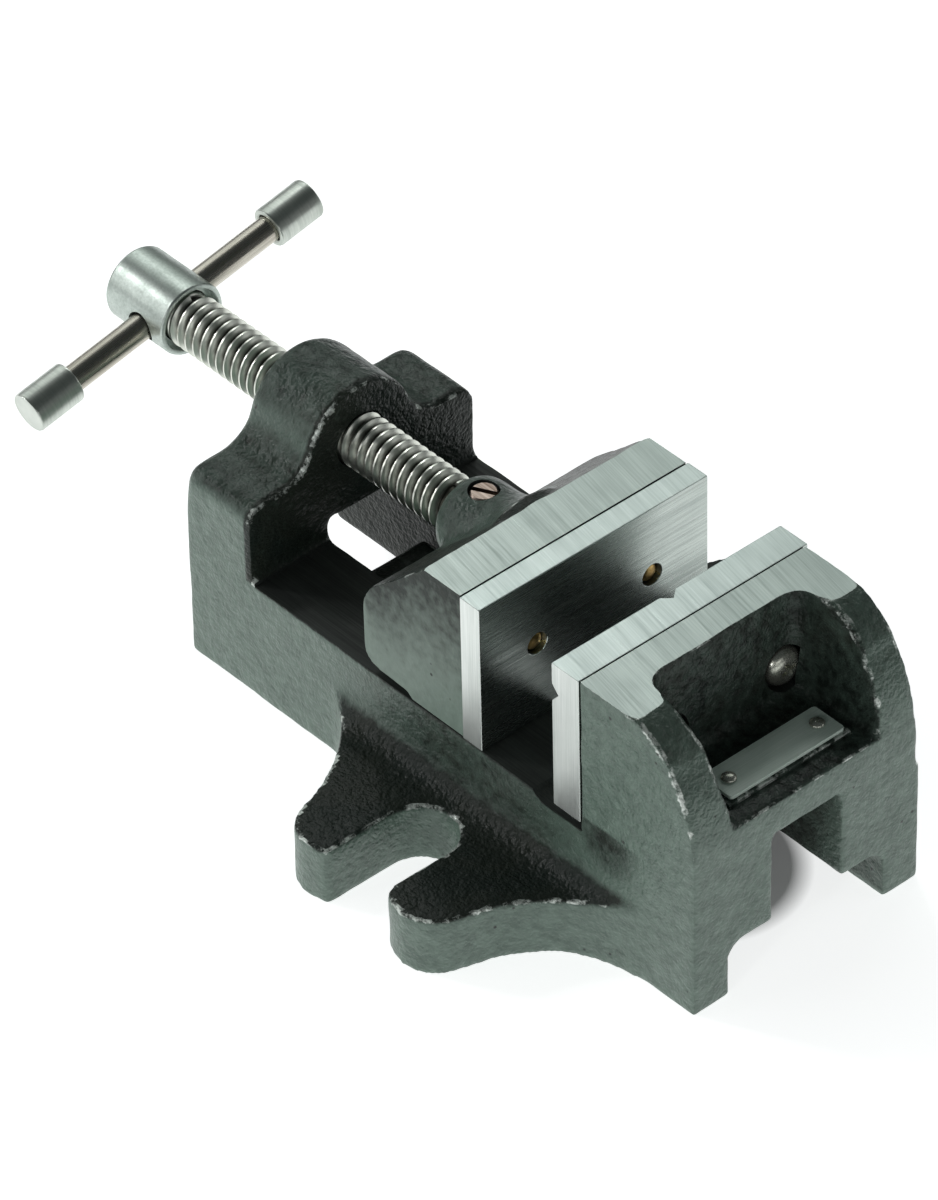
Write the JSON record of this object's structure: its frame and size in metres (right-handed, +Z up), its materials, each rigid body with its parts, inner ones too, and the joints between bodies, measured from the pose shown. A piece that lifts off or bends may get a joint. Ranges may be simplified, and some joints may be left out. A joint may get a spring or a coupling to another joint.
{
  "type": "machine vise",
  "caption": "Cast-iron machine vise with slotted lugs, plated jaws, a moving jaw driven by a screw, and a sliding bar handle.",
  "frame": {"origin": "middle of the whole object's footprint, on the surface that it stands on", "axes": "+X along the screw towards the fixed jaw, +Z up"},
  "size_m": [0.2116, 0.13, 0.0688],
  "materials": {
    "cast_iron_painted": "cast skin under thin dark green-grey paint, machined bed and jaw tops",
    "steel_ground": "ground flat, fine parallel lines",
    "steel_turned": "turned bright",
    "steel_zinc_plated": "zinc plated, dulled by oil",
    "steel_yellow_zinc": "yellow zinc plated",
    "aluminium_sheet": "brushed sheet, blank"
  },
  "bodies": {
    "base": {"base_casting": "cast_iron_painted", "fixed_jaw_plate": "steel_ground", "fixed_jaw_screw_near": "steel_zinc_plated", "fixed_jaw_screw_far": "steel_zinc_plated", "name_plate": "aluminium_sheet", "name_plate_rivet_near": "steel_turned", "name_plate_rivet_far": "steel_turned"},
    "moving_jaw": {"moving_jaw_casting": "cast_iron_painted", "moving_jaw_plate": "steel_ground", "moving_jaw_screw_near": "steel_yellow_zinc", "moving_jaw_screw_far": "steel_yellow_zinc", "boss_set_screw": "steel_turned", "guide_plate": "steel_ground", "guide_lock_washer_rear": "steel_zinc_plated", "guide_lock_washer_front": "steel_zinc_plated", "guide_screw_rear": "steel_zinc_plated", "guide_screw_front": "steel_zinc_plated"},
    "spindle": {"spindle_screw": "steel_turned", "spindle_hub": "steel_turned", "hub_pin": "steel_zinc_plated"},
    "handle": {"handle_rod": "steel_turned", "handle_knob_near": "steel_turned", "handle_knob_far": "steel_turned"}
  },
  "joints": [
    {"name": "jaw_slide", "type": "slide", "parent": "base", "child": "moving_jaw", "axis": [1, 0, 0], "range_m": [-0.0277, 0.0215]},
    {"name": "screw_turn", "type": "hinge", "parent": "moving_jaw", "child": "spindle", "pos_m": [-0.0867, 0, 0.0527], "axis": [1, 0, 0], "range_deg": [-3926, 3048]},
    {"name": "handle_slide", "type": "slide", "parent": "spindle", "child": "handle", "axis": [0, 0.9803, 0.1977], "range_m": [-0.0198, 0.0198]}
  ],
  "couplings": [
    {"joint": "screw_turn", "follows": "jaw_slide", "rad_per_m": 2473.7}
  ]
}
